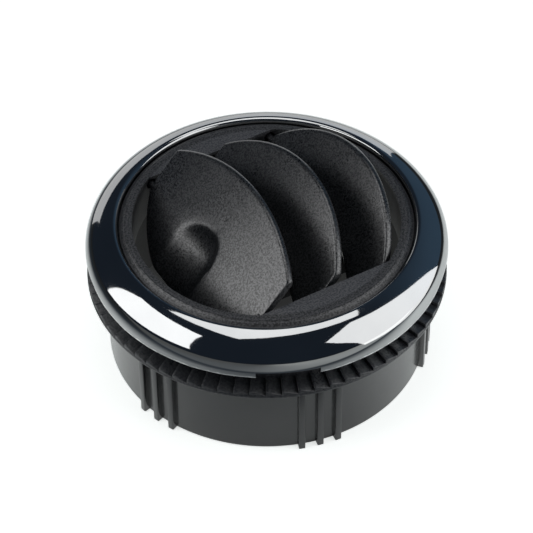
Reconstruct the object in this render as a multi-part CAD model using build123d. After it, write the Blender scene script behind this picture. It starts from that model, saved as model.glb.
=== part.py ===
from build123d import *
import os
from math import atan2, cos, degrees, radians, sin, sqrt, tan

# Round louvre vent for a vehicle dashboard, in millimetres. The axis of the vent is Z, and z = 0 is the
# lower end of the neck. The blades tilt about lines along Y, and their raised edges point towards +X.

# Running and fitting clearances
turn_clearance = 0.3
end_float = 0.2
pin_clearance = 0.2
blade_end_gap = 0.7
blade_rim_gap = 0.6
fit_clearance = 0.1

# Neck, which pushes into the air duct
neck_radius = 37.5
neck_wall = 2.0
neck_length = 21.4
neck_lead_in = 0.5
rib_groups = 6
ribs_in_group = 3
rib_group_angle = 18.0
rib_step_angle = 6.5
rib_width = 1.5
rib_height = 0.85

# Flange, which rests on the panel. Its upper face rises towards the collar and is cut into ramped teeth.
flange_width = 4.3
flange_edge = 1.8
flange_rise = 1.0
tooth_count = 72
tooth_height = 1.0
tooth_land = 0.5

# Collar, the upper end of the neck, in which the rotor turns
collar_height = 11.6

# Bezel, a thin bright shell that stands on the collar, above the flange. Its curve is two arcs that
# meet half way down.
bezel_stand = 6.3
bezel_wall = 2.0
bezel_lip_overlap = 1.35
bezel_lip_height = 2.54
bezel_lip_wall = 1.45
bezel_crown_radius = 10.3
bezel_crown_angle = 82.0
bezel_meet_angle = 45.0
bezel_skirt_inset = 0.4
bezel_edge_round = 0.35
bezel_spigot_wall = 1.3
bezel_notch_angle = -113.7
bezel_notch_spread = 20.0

# Rotor, the ring with two cheeks that carries the blades
rotor_face_width = 3.05
rotor_top_drop = 0.35
rotor_flat_width = 1.5
rotor_bevel_drop = 1.1
rotor_wall = 1.6
rotor_plate = 2.0
rotor_flange_height = 0.9
rotor_flange_width = 1.1
rotor_spigot_length = 5.0
rotor_skirt_length = 10.5
cheek_width = 4.9
cheek_depth = 7.0

# Blades: three leaves with rounded raised edges, all at the same tilt
blade_tilt = 47.5
blade_thickness = 2.4
blade_edge_round = 0.9
blade_back_bevel = 0.8
middle_blade_overlap = 4.5
last_blade_overlap = 3.2
hinge_inset = 0.67
hinge_drop = 2.1
pin_radius = 1.2
pin_length = 2.6
pin_root = 1.2
first_edge_radius = 44.5
first_blade_front = 18.6
middle_edge_radius = 33.5
middle_blade_front = 17.0

# Finger scoop in the first blade
scoop_radius = 9.5
scoop_depth = 3.0
scoop_wall = 1.8
scoop_end_reach = 4.5
scoop_side_shift = 2.0
scoop_slope = 1.0

# Crank arms under the blades and the bar that links them
crank_reach = 9.5
crank_width = 2.2
crank_root_near = 0.8
crank_root_far = 5.0
crank_end_radius = 1.9
crank_side_shift = -9.5
crank_pin_radius = 1.0
link_thickness = 1.6
link_width = 4.0
link_side_gap = 0.3
crank_pin_proud = 0.4

# Places that follow from the sizes above
neck_bore_radius = neck_radius - neck_wall
flange_radius = neck_radius + flange_width
skirt_low = neck_length + bezel_stand
collar_top = neck_length + collar_height
rotor_flange_low = collar_top + end_float
rotor_flange_top = rotor_flange_low + rotor_flange_height
bezel_inner_radius = neck_bore_radius - bezel_lip_overlap
bezel_lip_low = rotor_flange_top + end_float
bezel_top = bezel_lip_low + bezel_lip_height
rotor_top = bezel_top - rotor_top_drop
rotor_face_radius = bezel_inner_radius - turn_clearance
rotor_opening_radius = rotor_face_radius - rotor_face_width
rotor_spigot_radius = neck_bore_radius - turn_clearance
cheek_chord = rotor_opening_radius - cheek_width
cheek_half_length = sqrt(rotor_opening_radius**2 - cheek_chord**2)
hinge_pitch = cheek_half_length - hinge_inset
hinge_height = rotor_top - hinge_drop
blade_half_length = cheek_chord - blade_end_gap
blade_rim_radius = rotor_opening_radius - blade_rim_gap
first_edge_reach = first_blade_front - hinge_pitch


def turned(section):
    """The solid of a section drawn in radius and height, turned about the axis of the vent."""
    return revolve(Plane.XZ * section, Axis.Z)


def band(inner, outer, low, high):
    """A rectangle in radius and height."""
    return Pos((inner + outer) / 2, (low + high) / 2) * Rectangle(outer - inner, high - low)


def make_housing():
    """Neck, collar and toothed flange, moulded in one piece and open right through."""
    tube = band(neck_bore_radius, neck_radius, 0, collar_top)
    edge_top = neck_length + flange_edge
    plate = Polygon(
        (neck_radius - neck_wall / 2, neck_length),
        (flange_radius, neck_length),
        (flange_radius, edge_top),
        (neck_radius, edge_top + flange_rise),
        (neck_radius - neck_wall / 2, edge_top + flange_rise),
        align=None,
    )
    body = turned(tube + plate)
    lead_in = body.edges().group_by(Axis.Z)[0].sort_by(SortBy.RADIUS)[-1]
    body = chamfer(lead_in, neck_lead_in)

    rib = extrude(Pos(neck_radius, 0) * Rectangle(2 * rib_height, rib_width), neck_length)
    rib_corners = rib.edges().filter_by(Axis.Z).group_by(Axis.X)[-1]
    rib = fillet(rib_corners, 0.45 * rib_width)
    group_step = 360.0 / rib_groups
    middle = (ribs_in_group - 1) / 2
    ribs = [
        Rot(0, 0, rib_group_angle + group * group_step + (number - middle) * rib_step_angle) * rib
        for group in range(rib_groups)
        for number in range(ribs_in_group)
    ]
    body = body + ribs

    tooth_step = 360.0 / tooth_count
    ramp_run = 2 * flange_radius * sin(radians(tooth_step / 2)) - tooth_land
    face_slope = degrees(atan2(flange_rise, flange_width))
    ramp = Polygon(
        (0, 0),
        (ramp_run, -tooth_height),
        (ramp_run, tooth_height),
        (0, tooth_height),
        align=None,
    )
    cutter = Rot(0, face_slope, 0) * extrude(Plane.YZ * ramp, flange_width, both=True)
    outside_collar = Box(2 * flange_width, 2 * flange_width, 4 * tooth_height)
    cutter = Pos(flange_radius, 0, edge_top) * (cutter & outside_collar)
    return body - [Rot(0, 0, number * tooth_step) * cutter for number in range(tooth_count)]


def crown_section(inset):
    """Area under the two arcs of the bezel's curve, set in by an even amount, down to its widest level."""
    crown = Vector(cos(radians(bezel_crown_angle)), sin(radians(bezel_crown_angle)))
    meet = Vector(cos(radians(bezel_meet_angle)), sin(radians(bezel_meet_angle)))
    crown_centre = Vector(bezel_inner_radius, bezel_top) - crown * bezel_crown_radius
    meet_point = crown_centre + meet * bezel_crown_radius
    shoulder_radius = (flange_radius - meet_point.X) / (1 - meet.X)
    shoulder_centre = meet_point - meet * shoulder_radius
    crown_disc = Pos(crown_centre) * Circle(bezel_crown_radius - inset)
    shoulder_disc = Pos(shoulder_centre) * Circle(shoulder_radius - inset)
    far = 2 * flange_radius
    above_meet = Pos(meet_point) * Rot(0, 0, bezel_meet_angle) * Pos(0, far / 2) * Rectangle(far, far)
    below_meet = Pos(meet_point) * Rot(0, 0, bezel_meet_angle) * Pos(0, -far / 2) * Rectangle(far, far)
    window = band(bezel_inner_radius, flange_radius, shoulder_centre.Y, bezel_top + bezel_wall)
    area = (crown_disc & above_meet) + (shoulder_disc & below_meet)
    return area & window, shoulder_centre.Y


def make_bezel():
    """Quarter-round shell with a lip that traps the rotor, a spigot round the collar and a foot on it."""
    outer_area, widest = crown_section(0)
    inner_area, widest = crown_section(bezel_wall)
    dome = outer_area - inner_area
    lip_outer = bezel_inner_radius + bezel_lip_wall
    lip = band(bezel_inner_radius, lip_outer, bezel_lip_low, bezel_top)
    lip = lip & outer_area
    skirt_radius = flange_radius - bezel_skirt_inset
    spigot_bore = neck_radius + fit_clearance
    spigot_radius = spigot_bore + bezel_spigot_wall
    skirt = band(spigot_bore, skirt_radius, skirt_low, widest)
    foot_bore = rotor_spigot_radius + rotor_flange_width + turn_clearance
    foot = band(foot_bore, neck_radius, collar_top, bezel_lip_low)
    shell = turned(dome + lip + skirt + foot)
    edge = shell.edges().filter_by(GeomType.CIRCLE).group_by(Axis.Z)[-1]
    shell = fillet(edge, bezel_edge_round)

    notch_depth = skirt_radius - spigot_radius
    ring = turned(band(spigot_radius, skirt_radius + notch_depth, skirt_low, widest))
    far = 2 * flange_radius
    half_width = far * tan(radians(bezel_notch_spread / 2))
    wedge = Polygon((0, 0), (far, -half_width), (far, half_width), align=None)
    sector = Rot(0, 0, bezel_notch_angle) * extrude(wedge, bezel_top)
    return shell - (ring & sector)


def hinge_places():
    """X of the three hinge lines, from the first blade to the last."""
    return [-hinge_pitch, 0.0, hinge_pitch]


def make_rotor():
    """Ring with two cheeks. It turns on the collar and is trapped under the lip of the bezel."""
    flat_radius = rotor_opening_radius + rotor_flat_width
    bevel_low = rotor_top - rotor_bevel_drop
    face = Polygon(
        (rotor_opening_radius, rotor_top - rotor_plate),
        (rotor_face_radius, rotor_top - rotor_plate),
        (rotor_face_radius, bevel_low),
        (flat_radius, rotor_top),
        (rotor_opening_radius, rotor_top),
        align=None,
    )
    spigot_bore = rotor_spigot_radius - rotor_wall
    spigot_low = rotor_flange_low - rotor_spigot_length
    step = band(rotor_opening_radius, rotor_face_radius, rotor_flange_low, rotor_top - rotor_plate)
    flange_reach = rotor_spigot_radius + rotor_flange_width
    flange = band(rotor_opening_radius, flange_reach, rotor_flange_low, rotor_flange_top)
    spigot = band(spigot_bore, rotor_spigot_radius, spigot_low, rotor_flange_low)
    skirt_outer = rotor_opening_radius + rotor_wall
    skirt = band(rotor_opening_radius, skirt_outer, rotor_top - rotor_skirt_length, rotor_top)
    ring = turned(face + step + flange + spigot + skirt)

    cheek_low = rotor_top - cheek_depth
    disc = Pos(0, 0, cheek_low) * extrude(Circle(rotor_opening_radius + rotor_wall / 2), cheek_depth)
    under = Pos(0, 0, cheek_low) * extrude(Circle(rotor_opening_radius), cheek_depth - rotor_plate)
    cheeks = []
    for side in (-1, 1):
        room = rotor_opening_radius + rotor_wall - cheek_chord
        slab = Pos(0, side * (cheek_chord + room / 2), rotor_top - cheek_depth / 2)
        segment = disc & (slab * Box(4 * rotor_opening_radius, room, cheek_depth))
        hollow_room = room - rotor_wall
        hollow_middle = side * (cheek_chord + rotor_wall + hollow_room / 2)
        hollow = Pos(0, hollow_middle, rotor_top - cheek_depth / 2)
        segment = segment - (under & (hollow * Box(4 * rotor_opening_radius, hollow_room, cheek_depth)))
        cheeks.append(segment)
    rotor = ring + cheeks

    hole_radius = pin_radius + pin_clearance
    hole_start = blade_half_length - pin_root - pin_clearance
    hole_end = blade_half_length + pin_length + pin_clearance
    holes = []
    for place in hinge_places():
        for side in (-1, 1):
            middle = Pos(place, side * (hole_start + hole_end) / 2, hinge_height)
            holes.append(middle * Rot(90, 0, 0) * Cylinder(hole_radius, hole_end - hole_start))
    return rotor - holes


def arc_disc(place, radius, reach):
    """A disc whose edge crosses the X axis at reach, seen from the hinge line at place."""
    return Pos(reach - radius - place, 0) * Circle(radius)


def make_blade(outline):
    """One flat leaf with rounded edges, end pins and a crank arm, lying level on its hinge line."""
    far = 4 * rotor_opening_radius
    leaf = extrude(outline & Rectangle(far, 2 * blade_half_length), blade_thickness / 2, both=True)
    back = leaf.edges().filter_by(GeomType.CIRCLE).sort_by(Axis.X)[:-2]
    leaf = chamfer(back, blade_back_bevel)
    raised = leaf.edges().filter_by(GeomType.CIRCLE).sort_by(Axis.X)[-2:]
    leaf = fillet(raised, blade_edge_round)
    pins = [
        Pos(0, side * (blade_half_length + (pin_length - pin_root) / 2), 0)
        * Rot(90, 0, 0)
        * Cylinder(pin_radius, pin_length + pin_root)
        for side in (-1, 1)
    ]
    return leaf + pins + make_crank()


def make_crank():
    """Arm under a blade. At rest it points straight down, and its pin carries the link bar."""
    root_height = -blade_thickness / 2
    lean = Rot(0, 0, -blade_tilt)
    corners = [
        Pos(crank_root_near, root_height) * Circle(crank_end_radius / 2),
        Pos(crank_root_far, root_height) * Circle(crank_end_radius / 2),
        lean * Pos(0, -crank_reach) * Circle(crank_end_radius),
    ]
    arm = make_hull([edge for corner in corners for edge in corner.edges()])
    below = Pos(0, -crank_reach + root_height / 2) * Rectangle(6 * crank_reach, 2 * crank_reach)
    arm = extrude(Plane.XZ * (arm & below), crank_width / 2, both=True)
    pin_reach = link_thickness + link_side_gap + crank_pin_proud
    pin_middle = -(crank_width + pin_reach) / 2
    pin = extrude(Plane.XZ * (lean * Pos(0, -crank_reach) * Circle(crank_pin_radius)), pin_reach / 2, both=True)
    return Pos(0, crank_side_shift, 0) * (arm + Pos(0, pin_middle, 0) * pin)


def make_scoop(blade, outline):
    """Sink a round-ended finger scoop into a level blade, with an even wall behind it."""
    rise = scoop_radius - scoop_depth
    end_radius = sqrt(scoop_radius**2 - rise**2)
    run = 2 * rotor_opening_radius
    start = Pos(scoop_end_reach - end_radius, scoop_side_shift, blade_thickness / 2 + rise)
    lie = start * Rot(0, -90 - scoop_slope, 0)
    hollow = start * Sphere(scoop_radius) + lie * Pos(0, 0, run / 2) * Cylinder(scoop_radius, run)
    outer = scoop_radius + scoop_wall
    shell = start * Sphere(outer) + lie * Pos(0, 0, run / 2) * Cylinder(outer, run)
    room = outline & Rectangle(run * 2, 2 * blade_half_length)
    prism = Pos(0, 0, blade_thickness / 2 - scoop_radius) * extrude(room, scoop_radius)
    return blade + (shell & prism) - hollow


def tilted(level_blade, place):
    """A level blade turned to the tilt at rest and set on its hinge line."""
    return Pos(place, 0, hinge_height) * Rot(0, -blade_tilt, 0) * level_blade


def make_link_bar():
    """Flat bar that hangs on the three crank pins."""
    bar_side = crank_side_shift - crank_width / 2 - link_side_gap - link_thickness / 2
    bar_height = hinge_height - crank_reach
    outline = SlotCenterToCenter(2 * hinge_pitch, link_width)
    holes = [Pos(place, 0) * Circle(crank_pin_radius + pin_clearance) for place in hinge_places()]
    bar = extrude(Plane.XZ * (outline - holes), link_thickness / 2, both=True)
    return Pos(0, bar_side, bar_height) * bar


first_place, middle_place, last_place = hinge_places()
first_outline = arc_disc(first_place, blade_rim_radius, blade_rim_radius)
first_outline = first_outline & arc_disc(first_place, first_edge_radius, first_edge_reach)
middle_back_reach = first_edge_reach - middle_blade_overlap
middle_outline = arc_disc(middle_place, middle_edge_radius, middle_blade_front)
middle_back_radius = first_edge_radius - middle_blade_overlap
middle_outline = middle_outline - arc_disc(middle_place, middle_back_radius, middle_back_reach)
last_back_reach = middle_blade_front - last_blade_overlap
last_outline = arc_disc(last_place, blade_rim_radius, blade_rim_radius)
last_back_radius = middle_edge_radius - last_blade_overlap
last_outline = last_outline - arc_disc(last_place, last_back_radius, last_back_reach)

first_blade = make_scoop(make_blade(first_outline), first_outline)

nodes = {
    "housing": make_housing(),
    "bezel": make_bezel(),
    "rotor": make_rotor(),
    "dimpled_blade": tilted(first_blade, first_place),
    "middle_blade": tilted(make_blade(middle_outline), middle_place),
    "end_blade": tilted(make_blade(last_outline), last_place),
    "link_bar": make_link_bar(),
}

os.makedirs("parts", exist_ok=True)
for name, solid in nodes.items():
    export_step(solid, f"parts/{name}.step")
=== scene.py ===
from math import acos, cos, pi, radians, sin, sqrt

import bmesh
import bpy
import numpy as np
from mathutils import Euler, Matrix, Vector


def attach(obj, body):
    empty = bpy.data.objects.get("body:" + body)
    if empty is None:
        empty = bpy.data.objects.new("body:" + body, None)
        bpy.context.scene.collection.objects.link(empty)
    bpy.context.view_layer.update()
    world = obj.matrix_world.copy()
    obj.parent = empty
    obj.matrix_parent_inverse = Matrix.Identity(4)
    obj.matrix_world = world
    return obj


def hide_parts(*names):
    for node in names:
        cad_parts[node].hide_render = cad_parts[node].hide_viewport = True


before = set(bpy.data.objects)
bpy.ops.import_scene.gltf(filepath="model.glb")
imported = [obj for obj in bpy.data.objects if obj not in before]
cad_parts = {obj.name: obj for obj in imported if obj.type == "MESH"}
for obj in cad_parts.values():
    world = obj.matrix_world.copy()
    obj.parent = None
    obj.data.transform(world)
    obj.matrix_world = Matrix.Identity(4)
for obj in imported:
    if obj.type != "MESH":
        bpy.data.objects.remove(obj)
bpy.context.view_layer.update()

# Housing: neck, flange and collar, moulded in one piece of black plastic with a dull bore. The flange is
# a thin plate that rises towards the collar, and the neck's lower end is chamfered to slip into a duct.
neck_radius = 37.5
neck_bore = 35.5
neck_length = 21.4
chamfer_width = 0.4
chamfer_height = 0.6
flange_radius = 41.8
flange_edge = 0.8
flange_rise = 1.0
collar_top = 33.0
housing_step = 1.25
corner_steps = 5


def soft_loop(corners):
    """Points of a closed outline whose corners (x, y, radius) are rounded."""
    points = []
    for number, (x, y, radius) in enumerate(corners):
        here = Vector((x, y))
        before = Vector(corners[number - 1][:2]) - here
        after = Vector(corners[(number + 1) % len(corners)][:2]) - here
        start = here + before.normalized() * radius
        end = here + after.normalized() * radius
        for step in range(corner_steps + 1):
            t = step / corner_steps
            point = start * (1 - t) ** 2 + here * 2 * t * (1 - t) + end * t ** 2
            points.append((point.x, point.y))
    return points


def finish_mesh(name, points, faces, crease=35):
    """An object from points in millimetres, with outward faces and edges sharper than the crease kept."""
    mesh = bpy.data.meshes.new(name)
    mesh.from_pydata([(x / 1000, y / 1000, z / 1000) for x, y, z in points], [], faces)
    work = bmesh.new()
    work.from_mesh(mesh)
    bmesh.ops.recalc_face_normals(work, faces=work.faces)
    work.to_mesh(mesh)
    work.free()
    mesh.shade_smooth()
    mesh.set_sharp_from_angle(angle=radians(crease))
    piece = bpy.data.objects.new(name, mesh)
    bpy.context.scene.collection.objects.link(piece)
    return piece


def turned_points(loops, angles):
    """Points and faces of closed outlines (radius, height), one for each angle, joined all round."""
    points = []
    faces = []
    count = len(loops[0])
    turns = len(angles)
    for loop, angle in zip(loops, angles):
        points += [(r * cos(angle), r * sin(angle), z) for r, z in loop]
    for turn in range(turns):
        here = turn * count
        there = ((turn + 1) % turns) * count
        for n in range(count):
            m = (n + 1) % count
            faces.append((here + n, there + n, there + m, here + m))
    return points, faces


housing_loop = soft_loop([
    (neck_bore, 0, 0.2),
    (neck_radius - chamfer_width, 0, 0.2),
    (neck_radius, chamfer_height, 0.3),
    (neck_radius, neck_length, 0.25),
    (flange_radius, neck_length, 0.25),
    (flange_radius, neck_length + flange_edge, 0.2),
    (neck_radius, neck_length + flange_edge + flange_rise, 0.2),
    (neck_radius, collar_top, 0.25),
    (neck_bore, collar_top, 0.25),
])
housing_angles = [radians(n) for n in np.arange(0, 360, housing_step)]
housing_points, housing_faces = turned_points([housing_loop] * len(housing_angles), housing_angles)
housing = finish_mesh("housing_shell", housing_points, housing_faces)


def add_node(tree, kind, inputs=(), **settings):
    """A node with these settings, whose inputs are linked to sockets or set to plain values."""
    node = tree.nodes.new(kind)
    for title, value in settings.items():
        setattr(node, title, value)
    for title, value in dict(inputs).items():
        if isinstance(value, bpy.types.NodeSocket):
            tree.links.new(value, node.inputs[title])
        else:
            node.inputs[title].default_value = value
    return node


def worked(tree, operation, *values):
    """The result of one sum on sockets or numbers."""
    return add_node(tree, "ShaderNodeMath", enumerate(values), operation=operation).outputs["Value"]


def ranged(tree, source, low, high, first=0.0, last=1.0, course="LINEAR"):
    """A value that goes from first to last while the source goes from low to high."""
    inputs = {"Value": source, "From Min": low, "From Max": high, "To Min": first, "To Max": last}
    return add_node(tree, "ShaderNodeMapRange", inputs, interpolation_type=course).outputs["Result"]


def blended(tree, factor, first, second, blend="MIX"):
    """A colour made of two others."""
    inputs = {"Factor": factor, "A": first, "B": second}
    return add_node(tree, "ShaderNodeMix", inputs, data_type="RGBA", blend_type=blend).outputs["Result"]


def noise(tree, place, scale, detail):
    """A cloudy value at each place."""
    inputs = {"Vector": place, "Scale": scale, "Detail": detail}
    return add_node(tree, "ShaderNodeTexNoise", inputs).outputs["Fac"]


# Surface wear and moulding unevenness that every black plastic piece shows: slow cloudy changes and a
# fine grain, as values that each material uses in its own amount.
plastic_skin = bpy.data.node_groups.new("plastic_skin", "ShaderNodeTree")
for title in ("Grain Size", "Grain Height"):
    plastic_skin.interface.new_socket(title, in_out="INPUT", socket_type="NodeSocketFloat")
for title in ("Mottle", "Speck"):
    plastic_skin.interface.new_socket(title, in_out="OUTPUT", socket_type="NodeSocketFloat")
plastic_skin.interface.new_socket("Normal", in_out="OUTPUT", socket_type="NodeSocketVector")
skin_in = add_node(plastic_skin, "NodeGroupInput").outputs
place = add_node(plastic_skin, "ShaderNodeTexCoord").outputs["Object"]
cloud = noise(plastic_skin, place, 90, 3)
grain = add_node(
    plastic_skin, "ShaderNodeTexNoise",
    {"Vector": place, "Scale": skin_in["Grain Size"], "Detail": 2, "Roughness": 0.6},
).outputs["Fac"]
speck = ranged(plastic_skin, grain, 0.40, 0.60)
mottle = worked(plastic_skin, "MULTIPLY_ADD", speck, 0.3, cloud)
bump = add_node(
    plastic_skin, "ShaderNodeBump",
    {"Height": grain, "Strength": 1.0, "Distance": skin_in["Grain Height"]},
).outputs["Normal"]
add_node(plastic_skin, "NodeGroupOutput", {"Mottle": mottle, "Speck": speck, "Normal": bump})


def plastic(name, dark, light, roughness, gloss, sheen, grain_size, grain_height):
    """Black plastic whose colour, roughness and sheen drift between two values each."""
    material = bpy.data.materials.new(name)
    material.use_nodes = True
    tree = material.node_tree
    shader = tree.nodes["Principled BSDF"].inputs
    shader["IOR"].default_value = 1.6
    shader["Specular IOR Level"].default_value = gloss
    shader["Coat IOR"].default_value = 1.8
    shader["Coat Roughness"].default_value = sum(roughness) / 2
    skin = add_node(
        tree, "ShaderNodeGroup",
        {"Grain Size": grain_size, "Grain Height": grain_height}, node_tree=plastic_skin,
    ).outputs
    tree.links.new(blended(tree, skin["Speck"], (*dark, 1), (*light, 1)), shader["Base Color"])
    tree.links.new(ranged(tree, skin["Mottle"], 0.35, 0.95, *roughness), shader["Roughness"])
    tree.links.new(ranged(tree, skin["Speck"], 0.0, 1.0, *sheen), shader["Coat Weight"])
    tree.links.new(skin["Normal"], shader["Normal"])
    return material


smooth_plastic = plastic(
    "smooth_black_plastic", dark=(0.011, 0.011, 0.012), light=(0.018, 0.018, 0.019), roughness=(0.17, 0.25),
    gloss=0.55, sheen=(0.48, 0.54), grain_size=900, grain_height=0.000004,
)
toothed_plastic = plastic(
    "toothed_black_plastic", dark=(0.020, 0.022, 0.026), light=(0.034, 0.036, 0.040), roughness=(0.26, 0.40),
    gloss=0.35, sheen=(0.20, 0.45), grain_size=1900, grain_height=0.00003,
)
inner_plastic = plastic(
    "inner_black_plastic", dark=(0.006, 0.006, 0.0065), light=(0.010, 0.010, 0.011), roughness=(0.42, 0.55),
    gloss=0.12, sheen=(0.05, 0.10), grain_size=1800, grain_height=0.00004,
)
housing_materials = (smooth_plastic, toothed_plastic, inner_plastic)
for material in housing_materials:
    housing.data.materials.append(material)
above_neck = (neck_length + 0.1) / 1000
within_bore = (neck_bore + 0.4) / 1000
for face in housing.data.polygons:
    shown = toothed_plastic if face.center.z > above_neck else smooth_plastic
    if face.center.xy.length < within_bore:
        shown = inner_plastic
    face.material_index = housing_materials.index(shown)
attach(housing, "housing")
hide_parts("housing")

# Teeth and ribs of the housing: ramped teeth all round the flange's upper face, and groups of three
# ribs on the neck that grip the duct. Each is one bar with rounded edges, repeated round the axis.
tooth_count = 72
tooth_height = 1.0
tooth_foot = 0.05
tooth_land = 0.5
tooth_root = 0.3
tooth_overlap = 0.1
tooth_setback = 0.05
tooth_rounding = 0.12
tooth_wear = 0.002
wear_seed = 7
rib_inner = 36.9
rib_outer = 38.7
rib_half = 0.75
rib_rounding = 0.2
rib_wear = 0.001
rib_groups = 6
ribs_in_group = 3
rib_middle = 18.0
rib_step = 6.5
bar_crease = 40

ring_tree = bpy.data.node_groups.new("bars_in_a_ring", "GeometryNodeTree")
ring_face = ring_tree.interface
ring_face.new_socket("Geometry", in_out="INPUT", socket_type="NodeSocketGeometry")
ring_kinds = {
    "Groups": "NodeSocketInt",
    "Bars In Group": "NodeSocketInt",
    "First Angle": "NodeSocketFloat",
    "Bar Step": "NodeSocketFloat",
    "Wear": "NodeSocketFloat",
    "Material": "NodeSocketMaterial",
}
ring_inputs = {
    title: ring_face.new_socket(title, in_out="INPUT", socket_type=kind).identifier
    for title, kind in ring_kinds.items()
}
ring_face.new_socket("Geometry", in_out="OUTPUT", socket_type="NodeSocketGeometry")
ring_in = add_node(ring_tree, "NodeGroupInput").outputs
number = add_node(ring_tree, "GeometryNodeInputIndex").outputs["Index"]
groups = ring_in["Groups"]
per_group = ring_in["Bars In Group"]
total = worked(ring_tree, "MULTIPLY", groups, per_group)
share = worked(ring_tree, "DIVIDE", worked(ring_tree, "ADD", number, 0.5), per_group)
group = worked(ring_tree, "FLOOR", share)
in_group = worked(ring_tree, "SUBTRACT", number, worked(ring_tree, "MULTIPLY", group, per_group))
group_angle = worked(ring_tree, "MULTIPLY", group, worked(ring_tree, "DIVIDE", 2 * pi, groups))
bar_angle = worked(ring_tree, "MULTIPLY", in_group, ring_in["Bar Step"])
turn = worked(ring_tree, "ADD", worked(ring_tree, "ADD", group_angle, bar_angle), ring_in["First Angle"])
turn_vector = add_node(ring_tree, "ShaderNodeCombineXYZ", {"Z": turn}).outputs["Vector"]
shortest = worked(ring_tree, "SUBTRACT", 1.0, ring_in["Wear"])
worn = add_node(
    ring_tree, "FunctionNodeRandomValue", {2: shortest, 3: 1.0, "Seed": wear_seed}, data_type="FLOAT"
).outputs[1]
worn_size = add_node(ring_tree, "ShaderNodeCombineXYZ", {"X": worn, "Y": 1.0, "Z": 1.0}).outputs["Vector"]
spots = add_node(ring_tree, "GeometryNodeMeshLine", {"Count": total, "Offset": (0, 0, 0)}).outputs["Mesh"]
copies = add_node(
    ring_tree, "GeometryNodeInstanceOnPoints",
    {"Points": spots, "Instance": ring_in["Geometry"], "Rotation": turn_vector, "Scale": worn_size},
).outputs["Instances"]
real = add_node(ring_tree, "GeometryNodeRealizeInstances", {"Geometry": copies}).outputs["Geometry"]
painted = add_node(
    ring_tree, "GeometryNodeSetMaterial", {"Geometry": real, "Material": ring_in["Material"]}
).outputs["Geometry"]
add_node(ring_tree, "NodeGroupOutput", {"Geometry": painted})


def ring_of_bars(name, first_end, second_end, rounding, settings):
    """A bar between two outlines in millimetres, repeated round the axis as one plain mesh."""
    size = len(first_end)
    sides = [(n, (n + 1) % size, size + (n + 1) % size, size + n) for n in range(size)]
    ends = [tuple(range(size)), tuple(range(size, 2 * size))]
    piece = finish_mesh(name, first_end + second_end, sides + ends)
    work = bmesh.new()
    work.from_mesh(piece.data)
    bmesh.ops.bevel(
        work, geom=work.edges[:], offset=rounding / 1000, segments=3, profile=0.5, affect="EDGES"
    )
    work.to_mesh(piece.data)
    work.free()
    piece.data.shade_smooth()
    piece.data.set_sharp_from_angle(angle=radians(bar_crease))
    modifier = piece.modifiers.new("ring", "NODES")
    modifier.node_group = ring_tree
    for title, value in settings.items():
        modifier[ring_inputs[title]] = value
    bpy.context.view_layer.update()
    repeated = piece.evaluated_get(bpy.context.evaluated_depsgraph_get())
    plain = bpy.data.meshes.new_from_object(repeated)
    piece.modifiers.remove(modifier)
    piece.data = plain
    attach(piece, "housing")
    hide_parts("housing")


def tooth_outline(radius):
    """A tooth's outline at one radius: a narrow land, then a ramp down to the next tooth."""
    step = 2 * pi / tooth_count
    land = tooth_land / flange_radius
    rise = flange_rise * (flange_radius - radius) / (flange_radius - neck_radius)
    base = neck_length + flange_edge + rise
    corners = [
        (-land, base - tooth_root),
        (step - land, base - tooth_root),
        (step - land, base + tooth_foot),
        (0.0, base + tooth_height),
        (-land, base + tooth_height),
    ]
    return [(radius * cos(angle), radius * sin(angle), height) for angle, height in corners]


def rib_outline(height):
    """A neck rib's outline at one height."""
    corners = [(rib_inner, -rib_half), (rib_outer, -rib_half), (rib_outer, rib_half), (rib_inner, rib_half)]
    return [(x, y, height) for x, y in corners]


ring_of_bars(
    "flange_teeth", tooth_outline(neck_radius - tooth_overlap), tooth_outline(flange_radius - tooth_setback),
    tooth_rounding,
    {"Groups": tooth_count, "Bars In Group": 1, "First Angle": 0.0, "Bar Step": 0.0,
     "Wear": tooth_wear, "Material": toothed_plastic},
)
ring_of_bars(
    "neck_ribs", rib_outline(0.0), rib_outline(neck_length), rib_rounding,
    {"Groups": rib_groups, "Bars In Group": ribs_in_group, "First Angle": radians(rib_middle - rib_step),
     "Bar Step": radians(rib_step), "Wear": rib_wear, "Material": smooth_plastic},
)

# Bezel: a thin shell of plated plastic whose curve is two arcs that meet half way down. A foot inside it
# stands on the collar, and a short skirt with a notch at the front left hangs above the flange. The
# plating has a slight haze, and a bright ragged line along the skirt's lower edge.
lip_radius = 34.15
lip_low = 34.3
lip_round = 1.0
lip_wall = 1.45
bezel_top = 36.84
bezel_wall = 2.0
crown_radius = 10.3
crown_angle = radians(82)
meet_angle = radians(45)
crown_centre = (lip_radius - crown_radius * cos(crown_angle), bezel_top - crown_radius * sin(crown_angle))
meet_radius = crown_centre[0] + crown_radius * cos(meet_angle)
shoulder_radius = (flange_radius - meet_radius) / (1 - cos(meet_angle))
shoulder_centre = (
    meet_radius - shoulder_radius * cos(meet_angle),
    crown_centre[1] + (crown_radius - shoulder_radius) * sin(meet_angle),
)
lip_angle = acos((lip_radius + lip_round - crown_centre[0]) / (crown_radius - lip_round))
lip_centre = (lip_radius + lip_round, crown_centre[1] + (crown_radius - lip_round) * sin(lip_angle))
widest = shoulder_centre[1]
ledge = 0.12
spigot_bore = 37.6
spigot_radius = 38.9
skirt_radius = 41.4
skirt_low = 27.7
skirt_round = 0.15
skirt_taper = 0.02
ripple_size = 0.05
ripple_waves = (23, 7)
bright_line = (0.75, 0.95)
nick_height = 1.2
foot_bore = 36.6
foot_angles = (radians(54.8), radians(62.1))
ceiling_end = radians(69.5)
notch_middle = radians(-113.7)
notch_half = radians(10)
notch_side = 0.0008
bezel_step = 1.0
bezel_crease = 40
small_turn = 0.02
arc_gap = 0.03


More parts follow.
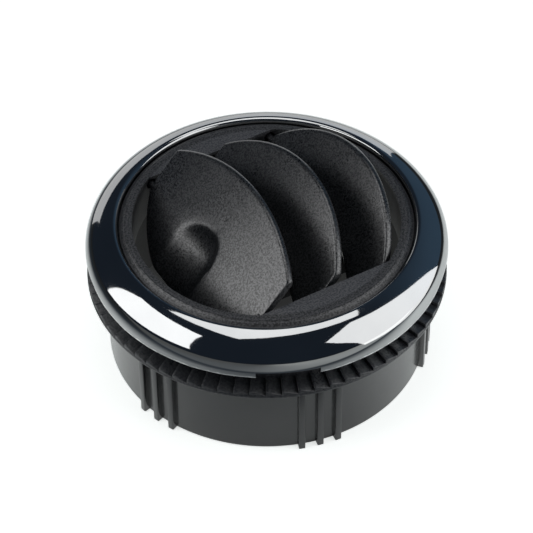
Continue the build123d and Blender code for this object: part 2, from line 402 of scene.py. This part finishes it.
def arc(centre, radius, start, end, count):
    """Points along an arc in radius and height."""
    turns = np.linspace(start, end, count)
    return [(centre[0] + radius * cos(a), centre[1] + radius * sin(a)) for a in turns]


def bezel_loop(angle):
    """The bezel's outline at one angle round the axis."""
    in_notch = abs((angle - notch_middle + pi) % (2 * pi) - pi) < notch_half
    skirt = spigot_radius + skirt_taper if in_notch else skirt_radius
    ripple = sin(ripple_waves[0] * angle) * sin(ripple_waves[1] * angle + 1)
    low = skirt_low + ripple_size + ripple_size * ripple
    loop = [(lip_radius, lip_low)]
    loop += arc(lip_centre, lip_round, pi, lip_angle, 14)
    loop += arc(crown_centre, crown_radius, lip_angle - small_turn, meet_angle, 26)
    loop += arc(shoulder_centre, shoulder_radius, meet_angle - arc_gap, arc_gap, 22)
    loop += [(flange_radius, widest), (flange_radius - ledge, widest - ledge), (skirt, widest - ledge)]
    loop += [(skirt, low + skirt_round), (skirt - skirt_taper, low)]
    loop += [(spigot_bore, low), (spigot_bore, widest)]
    loop += arc(shoulder_centre, shoulder_radius - bezel_wall, 0, meet_angle - arc_gap, 8)
    loop += arc(crown_centre, crown_radius - bezel_wall, meet_angle, foot_angles[0], 4)
    loop += [(neck_radius, collar_top), (foot_bore, collar_top)]
    loop += arc(crown_centre, crown_radius - bezel_wall, foot_angles[1], ceiling_end, 3)
    loop += [(lip_radius + lip_wall, lip_low)]
    return loop


bezel_angles = [radians(n) for n in np.arange(0, 360, bezel_step)]
for notch_end in (notch_middle - notch_half, notch_middle + notch_half):
    for side in (-notch_side, notch_side):
        bezel_angles.append((notch_end + side) % (2 * pi))
bezel_angles.sort()
bezel_points, bezel_faces = turned_points([bezel_loop(a) for a in bezel_angles], bezel_angles)
bezel = finish_mesh("bezel_shell", bezel_points, bezel_faces, bezel_crease)

chrome = bpy.data.materials.new("chrome_plating")
chrome.use_nodes = True
tree = chrome.node_tree
shader = tree.nodes["Principled BSDF"].inputs
shader["Metallic"].default_value = 1.0
place = add_node(tree, "ShaderNodeTexCoord").outputs["Object"]
height = add_node(tree, "ShaderNodeSeparateXYZ", {"Vector": place}).outputs["Z"]
film = noise(tree, place, 70, 4)
film_tone = blended(tree, film, (0.43, 0.44, 0.445, 1), (0.57, 0.575, 0.575, 1))
film_haze = ranged(tree, film, 0.3, 0.8, 0.03, 0.09)
nicks = noise(tree, place, 700, 2)
ragged_height = worked(tree, "MULTIPLY_ADD", nicks, nick_height / 1000, height)
line_low, line_high = [(skirt_low + rise) / 1000 for rise in bright_line]
near_edge = ranged(tree, ragged_height, line_low, line_high, 1.0, 0.0)
edged_tone = blended(tree, near_edge, film_tone, (0.96, 0.97, 0.96, 1))
peel = noise(tree, place, 420, 1)
wave = add_node(
    tree, "ShaderNodeBump", {"Height": peel, "Strength": 1.0, "Distance": 0.000008}
).outputs["Normal"]
tree.links.new(edged_tone, shader["Base Color"])
tree.links.new(film_haze, shader["Roughness"])
tree.links.new(wave, shader["Normal"])
bezel.data.materials.append(chrome)
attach(bezel, "housing")
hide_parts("bezel")

# Rotor: the black moulded ring with two cheeks that carries the blades and turns under the bezel's lip.
# Its grain is coarser than the blades', with thin lighter rings round the ring that are painted highlights,
# cheek tops lightened with painted light, and a wall without sheen.
wall_to_face = (0.0352, 0.0361)
cheek_to_ring = (0.0304, 0.0307)
ring_start = (0.0311, 0.0313)
step_half = 0.00042
step_fade = (0.00002, 0.00010)
# Colour added to the cheek tops as painted light.
cheek_painted_light = (0.034, 0.035, 0.039, 1)
# Colour of thin rings round the ring face, painted highlights.
ring_highlight_tone = (0.060, 0.060, 0.066, 1)
coarse_plastic = plastic(
    "coarse_black_plastic", dark=(0.003, 0.0038, 0.0055), light=(0.028, 0.029, 0.032), roughness=(0.42, 0.54),
    gloss=0.35, sheen=(0.25, 1.0), grain_size=2300, grain_height=0.00005,
)
tree = coarse_plastic.node_tree
shader = tree.nodes["Principled BSDF"].inputs
grain_colour = shader["Base Color"].links[0].from_socket
grain_sheen = shader["Coat Weight"].links[0].from_socket
place = add_node(tree, "ShaderNodeTexCoord").outputs["Object"]
height = add_node(tree, "ShaderNodeSeparateXYZ", {"Vector": place}).outputs["Z"]
flat_place = add_node(
    tree, "ShaderNodeVectorMath", {0: place, 1: (1.0, 1.0, 0.0)}, operation="MULTIPLY"
).outputs["Vector"]
from_axis = add_node(tree, "ShaderNodeVectorMath", {0: flat_place}, operation="LENGTH").outputs["Value"]
up_face = ranged(tree, height, *wall_to_face)
on_cheek = ranged(tree, from_axis, *cheek_to_ring, 1.0, 0.0)
painted_light_on_cheek = worked(tree, "MULTIPLY", on_cheek, up_face)
# Cheek tops lightened: painted light added to the grain colour.
cheek_colour = blended(tree, painted_light_on_cheek, grain_colour, cheek_painted_light, "ADD")
# Thin lighter rings round the ring face: painted highlights.
step_place = worked(tree, "PINGPONG", from_axis, step_half)
highlight_line = ranged(tree, step_place, *step_fade, 1.0, 0.0)
on_ring = ranged(tree, from_axis, *ring_start)
ring_highlight_band = worked(tree, "MULTIPLY", highlight_line, on_ring)
rotor_colour = blended(tree, ring_highlight_band, cheek_colour, ring_highlight_tone)
rotor_sheen = worked(tree, "MULTIPLY", grain_sheen, up_face)
tree.links.new(rotor_colour, shader["Base Color"])
tree.links.new(rotor_sheen, shader["Coat Weight"])
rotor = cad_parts["rotor"]
rotor.data.materials.clear()
rotor.data.materials.append(coarse_plastic)

# Blades: three slightly crowned leaves of grained black plastic, each moulded with its pins and a crank
# arm underneath, and snapped into the rotor's cheeks. All stand at the same tilt, with rounded raised
# edges. The first has a soft finger scoop that runs out over its back edge.
blade_tilt = radians(47.5)
hinge_pitch = 15.9982
hinge_height = 34.39
thickness = 2.4
half_length = 25.2
rim_radius = 30.2
back_round = 0.8
front_round = 0.9
end_insets = ((0.0, 0.3), (0.09, 0.09), (0.3, 0.0))
end_margin = 0.6
blade_crease = 40
edge_points = 6
cross_points = 60
length_points = 97
circle_points = 32
crown = 0.75
underside_share = 0.4
cross_top = 4.0
cross_rise = 0.1
cross_radius = 170.0
back_cross_radius = 450.0
pin_radius = 0.8
pin_ends = (24.0, 27.8)
crank_length = 9.5
crank_root = ((0.8, -0.9), (5.0, -0.9))
crank_root_radius = 0.95
crank_end_radius = 1.9
crank_sides = (-10.6, -8.4)
crank_pin_radius = 1.0
crank_pin_ends = (-12.9, -10.5)
scoop_start = (-2.43, 7.7)
scoop_middle = 2.0
scoop_slope = 0.0175
scoop_radius = 9.5
scoop_back_radius = 11.3
scoop_half = 6.93
scoop_lean = 2.8
near_softness = 0.10
far_softness = 0.35
back_softness = 0.12
grained_plastic = plastic(
    "grained_black_plastic", dark=(0.001, 0.0015, 0.0025), light=(0.016, 0.018, 0.021), roughness=(0.25, 0.36),
    gloss=0.50, sheen=(0.18, 1.0), grain_size=2400, grain_height=0.00004,
)


def circle(u, w, radius):
    """Points round a circle in the blade's cross section."""
    turns = np.linspace(0, 2 * pi, circle_points, endpoint=False)
    return [(u + radius * cos(a), w + radius * sin(a)) for a in turns]


def outer_hull(corners):
    """The convex outline round a set of points."""
    corners = sorted(set(corners))
    hull = []
    for sweep in (corners, corners[::-1]):
        chain = []
        for corner in sweep:
            while len(chain) > 1:
                (ax, ay), (bx, by) = chain[-2], chain[-1]
                if (bx - ax) * (corner[1] - ay) - (by - ay) * (corner[0] - ax) > 0:
                    break
                chain.pop()
            chain.append(corner)
        hull += chain[:-1]
    return hull


def add_prism(points, faces, outline, low, high):
    """Adds a bar along the hinge line with the given cross section."""
    start = len(points)
    size = len(outline)
    points.extend([(u, low, w) for u, w in outline])
    points.extend([(u, high, w) for u, w in outline])
    faces.append(tuple(range(start, start + size)))
    faces.append(tuple(range(start + size, start + 2 * size)))
    for n in range(size):
        m = (n + 1) % size
        faces.append((start + n, start + m, start + size + m, start + size + n))


def leaf_loop(v, inset, front, back, dent, belly):
    """One cross section of a leaf: its upper face from back to front, then its underside."""
    edge_turns = np.linspace(0, pi / 2, edge_points)
    run = np.linspace(0, 1, cross_points)[1:-1]
    flat = front - back - (back_round + front_round)
    top = [(back + back_round * (1 - cos(a)), back_round * (1 - sin(a))) for a in edge_turns]
    top += [(back + back_round + t * flat, 0.0) for t in run]
    top += [(front - front_round + front_round * sin(a), front_round * (1 - cos(a))) for a in edge_turns]
    sag = crown * (v / half_length) ** 2
    upper = []
    lower = []
    for u, drop in top:
        bend_radius = cross_radius if u > cross_top else back_cross_radius
        bend = cross_rise - (u - cross_top) ** 2 / (2 * bend_radius)
        upper.append((u, v, thickness / 2 - inset - drop - sag + bend - dent(u, v)))
        lower.append((u, v, -thickness / 2 + inset + drop - underside_share * sag - belly(u, v)))
    return upper + lower[::-1]


def blade_shape(place, front_edge, back_edge, dent, belly):
    """Points and faces of one leaf with its pins and crank, tilted on its hinge line."""
    inner_half = half_length - end_margin
    inner = np.linspace(-inner_half, inner_half, length_points)
    stations = [(-(half_length - short), inset) for short, inset in end_insets]
    stations += [(v, 0.0) for v in inner]
    stations += [(half_length - short, inset) for short, inset in reversed(end_insets)]
    points = []
    faces = []
    for v, inset in stations:
        points += leaf_loop(v, inset, front_edge(v) - inset, back_edge(v) + inset, dent, belly)
    count = len(points) // len(stations)
    last = (len(stations) - 1) * count
    for row in range(0, last, count):
        for n in range(count):
            m = (n + 1) % count
            faces.append((row + n, row + m, row + count + m, row + count + n))
    for row in (0, last):
        for n in range(count // 2 - 1):
            faces.append((row + n, row + n + 1, row + count - 2 - n, row + count - 1 - n))
    near_end, far_end = pin_ends
    for low, high in ((-far_end, -near_end), (near_end, far_end)):
        add_prism(points, faces, circle(0, 0, pin_radius), low, high)
    c, s = cos(blade_tilt), sin(blade_tilt)
    crank_end = (-crank_length * s, -crank_length * c)
    crank = circle(*crank_end, crank_end_radius)
    for root in crank_root:
        crank += circle(*root, crank_root_radius)
    add_prism(points, faces, outer_hull(crank), *crank_sides)
    add_prism(points, faces, circle(*crank_end, crank_pin_radius), *crank_pin_ends)
    points = [(place + u * c - w * s, v, hinge_height + u * s + w * c) for u, v, w in points]
    return points, faces


def arc_edge(place, radius, reach, sign):
    """The edge of a disc, as distance from the hinge line along the blade."""
    return lambda v: reach - sign * radius - place + sign * sqrt(radius ** 2 - v ** 2)


def no_dent(u, v):
    """A plain face."""
    return 0.0


def scoop_depth(u, v, radius):
    """Depth of the finger scoop under the blade's upper face, before its rim is softened."""
    start_u, level = scoop_start
    room = radius ** 2 - (v - scoop_middle) ** 2
    if u > start_u:
        room -= (u - start_u) ** 2
    else:
        level -= (start_u - u) * scoop_slope
    return thickness / 2 - level + sqrt(max(room, 0.0))


def softened(depth, softness):
    """A depth that fades out instead of ending at a sharp rim."""
    return 0.5 * (depth + sqrt(depth ** 2 + softness))


def scoop(u, v):
    """The scoop with a steep near wall, a gentle far wall and a softened rim."""
    past_deepest = v + scoop_lean - scoop_middle
    far_side = past_deepest > 0
    wall = scoop_half + scoop_lean if far_side else scoop_half - scoop_lean
    depth = scoop_depth(u, scoop_middle + past_deepest * (scoop_half / wall), scoop_radius)
    return softened(depth, far_softness if far_side else near_softness)


def scoop_back(u, v):
    """The bulge that the scoop makes in the blade's underside."""
    return softened(scoop_depth(u, v, scoop_back_radius) - thickness, back_softness)


blade_plan = {
    "dimpled_blade": (
        -hinge_pitch,
        arc_edge(-hinge_pitch, radius=44.5, reach=18.6 - hinge_pitch, sign=1),
        arc_edge(-hinge_pitch, radius=rim_radius, reach=-rim_radius, sign=-1),
        scoop, scoop_back,
    ),
    "middle_blade": (
        0.0,
        arc_edge(0.0, radius=33.5, reach=17.0, sign=1),
        arc_edge(0.0, radius=40.0, reach=14.1 - hinge_pitch, sign=1),
        no_dent, no_dent,
    ),
    "end_blade": (
        hinge_pitch,
        arc_edge(hinge_pitch, radius=rim_radius, reach=rim_radius, sign=1),
        arc_edge(hinge_pitch, radius=30.3, reach=13.8, sign=1),
        no_dent, no_dent,
    ),
}
for body, plan in blade_plan.items():
    blade_points, blade_faces = blade_shape(*plan)
    blade = finish_mesh(body + "_leaf", blade_points, blade_faces, blade_crease)
    blade.data.materials.append(grained_plastic)
    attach(blade, body)
    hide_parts(body)

# Link bar: a flat bar of plain black plastic with three holes, pushed on the blades' crank pins. It hangs
# hidden under the blades and makes them tilt together.
link_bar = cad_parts["link_bar"]
link_bar.data.materials.clear()
link_bar.data.materials.append(inner_plastic)

# Floor: a pale table top, white to the camera apart from the vent's shadow, which is a real shadow plus
# painted shade: inside the neck's circle the table is painted dark. In the plating it shows a painted
# reflection: a pale patch that ends a few centimetres in front of the vent with dark beyond, and further off
# a glowing strip that is lighter to the right. Places are turned to the camera: to its right, away from it,
# and up.
camera_turn = radians(30)
floor_half = 4
floor_mesh = bpy.data.meshes.new("table_top")
floor_mesh.from_pydata(
    [(x * floor_half, y * floor_half, 0) for x, y in ((-1, -1), (1, -1), (1, 1), (-1, 1))], [], [(0, 1, 2, 3)]
)
floor = bpy.data.objects.new("table_top", floor_mesh)
bpy.context.scene.collection.objects.link(floor)
table = bpy.data.materials.new("table_top")
table.use_nodes = True
tree = table.node_tree
tree.nodes.clear()


def soft_step(source, low, high, first, last):
    """A soft step from first to last while the source goes from low to high."""
    return ranged(tree, source, low, high, first, last, "SMOOTHSTEP")


place = add_node(tree, "ShaderNodeTexCoord").outputs["Object"]
turned_place = add_node(
    tree, "ShaderNodeVectorRotate", {"Vector": place, "Angle": camera_turn}, rotation_type="Z_AXIS"
).outputs["Vector"]
parts = add_node(tree, "ShaderNodeSeparateXYZ", {"Vector": turned_place}).outputs
from_axis = add_node(tree, "ShaderNodeVectorMath", {0: place}, operation="LENGTH").outputs["Value"]
from_patch = add_node(
    tree, "ShaderNodeVectorMath", {0: turned_place, 1: (0.035, 0.040, 0.0)}, operation="DISTANCE"
).outputs["Value"]
rays = add_node(tree, "ShaderNodeLightPath").outputs
front = soft_step(parts["Y"], -0.075, -0.038, 0.0, 1.0)
around = soft_step(from_patch, 0.08, 0.18, 1.0, 0.0)
patch = worked(tree, "MULTIPLY", front, around)
# How the table shows in the plating: a painted reflection, pale near the vent and dark beyond.
painted_reflection_tone = blended(tree, patch, (0.045, 0.060, 0.080, 1), (0.91, 0.95, 0.94, 1))
# Inside the neck's circle the table is painted dark, in colour and glow: painted shade.
outside_painted_shade = soft_step(from_axis, 0.0360, 0.0372, 0.0, 1.0)
floor_tone = blended(tree, outside_painted_shade, (0.12, 0.12, 0.12, 1), (0.82, 0.82, 0.82, 1))
seen_tone = blended(tree, rays["Is Glossy Ray"], floor_tone, painted_reflection_tone)
paper = add_node(tree, "ShaderNodeBsdfDiffuse", {"Color": seen_tone}).outputs["BSDF"]
floor_glow = soft_step(outside_painted_shade, 0.0, 1.0, 0.02, 0.72)
to_camera = worked(tree, "MULTIPLY", rays["Is Camera Ray"], floor_glow)
beside = worked(tree, "MULTIPLY", patch, soft_step(parts["Y"], -0.050, -0.015, 0.0, 1.0))
patch_glow = soft_step(beside, 0.0, 1.0, 0.02, 0.34)
strip_near = soft_step(parts["Y"], -0.086, -0.072, 0.17, 0.0)
strip_far = soft_step(parts["Y"], -1.2, -0.8, 0.0, 1.0)
strip_side = soft_step(parts["X"], -0.04, 0.08, 0.6, 2.4)
strip_glow = worked(tree, "MULTIPLY", worked(tree, "MULTIPLY", strip_near, strip_far), strip_side)
both_glows = worked(tree, "ADD", patch_glow, strip_glow)
# Glow that only the plating sees: part of the painted reflection.
painted_reflection_glow = worked(tree, "MULTIPLY", rays["Is Glossy Ray"], both_glows)
glow = add_node(
    tree, "ShaderNodeEmission",
    {"Color": (0.97, 1.0, 0.98, 1), "Strength": worked(tree, "ADD", to_camera, painted_reflection_glow)},
).outputs["Emission"]
lit_paper = add_node(tree, "ShaderNodeAddShader", {0: paper, 1: glow}).outputs["Shader"]
add_node(tree, "ShaderNodeOutputMaterial", {"Surface": lit_paper})
floor_mesh.materials.append(table)

# Studio light: a softbox overhead that reaches behind the vent, one at each side, and a low grey card
# behind, in a dark room that is bluer to the back right. Places are turned to the camera, as above.
turn_back = Matrix.Rotation(-camera_turn, 4, "Z")
world = bpy.data.worlds.new("room")
world.use_nodes = True
tree = world.node_tree
sky = tree.nodes["Background"].inputs
sky["Strength"].default_value = 1.0
direction = add_node(tree, "ShaderNodeTexCoord").outputs["Generated"]
back_right = turn_back @ Vector((0.68, 0.73, 0.0))
towards = add_node(
    tree, "ShaderNodeVectorMath", {0: direction, 1: back_right}, operation="DOT_PRODUCT"
).outputs["Value"]
blue_side = soft_step(towards, 0.35, 1.0, 0.0, 1.0)
tree.links.new(blended(tree, blue_side, (0.015, 0.021, 0.031, 1), (0.045, 0.078, 0.120, 1)), sky["Color"])
bpy.context.scene.world = world


def softbox(name, spot, aim, wide, tall, lean, level):
    """A lit rectangle at a spot, turned to its aim and leaning by some degrees, of an even brightness."""
    lamp = bpy.data.lights.new(name, "AREA")
    lamp.shape = "RECTANGLE"
    lamp.size = wide
    lamp.size_y = tall
    lamp.energy = level * pi * wide * tall
    box = bpy.data.objects.new(name, lamp)
    bpy.context.scene.collection.objects.link(box)
    facing = (turn_back.to_3x3() @ Vector(aim)).to_track_quat("-Z", "Y")
    turned = facing.to_matrix().to_4x4() @ Matrix.Rotation(radians(lean), 4, "Z")
    box.matrix_world = Matrix.Translation(turn_back @ Vector(spot)) @ turned
    box.visible_camera = False


softbox("overhead_box", (0.0, 0.035, 0.335), (0.0, 0.0, -1.0), wide=0.24, tall=0.18, lean=0, level=1.45)
softbox("left_box", (-0.1573, -0.0529, 0.160), (0.927, 0.375, 0.0), wide=0.170, tall=0.220, lean=8, level=1.9)
softbox("right_box", (0.185, -0.09, 0.184), (-1.0, 0.0, 0.0), wide=0.213, tall=0.380, lean=14, level=1.5)
softbox("back_card", (-0.055, 0.20, 0.045), (0.10, -0.99, 0.0), wide=0.30, tall=0.09, lean=0, level=0.66)

# Camera: a long lens that looks down at the vent from its front left, with a very slight roll.
camera_place = (-0.2067, -0.3578, 0.4316)
camera_down = radians(90 - 44.81)
camera_roll = radians(-0.49)
eye = bpy.data.cameras.new("camera")
eye.lens = 168.86
eye.sensor_width = 36
camera = bpy.data.objects.new("camera", eye)
bpy.context.scene.collection.objects.link(camera)
heading = Euler((camera_down, 0, -camera_turn)).to_matrix() @ Matrix.Rotation(camera_roll, 3, "Z")
camera.matrix_world = Matrix.Translation(camera_place) @ heading.to_4x4()
bpy.context.scene.camera = camera
bpy.context.scene.view_settings.view_transform = "Standard"
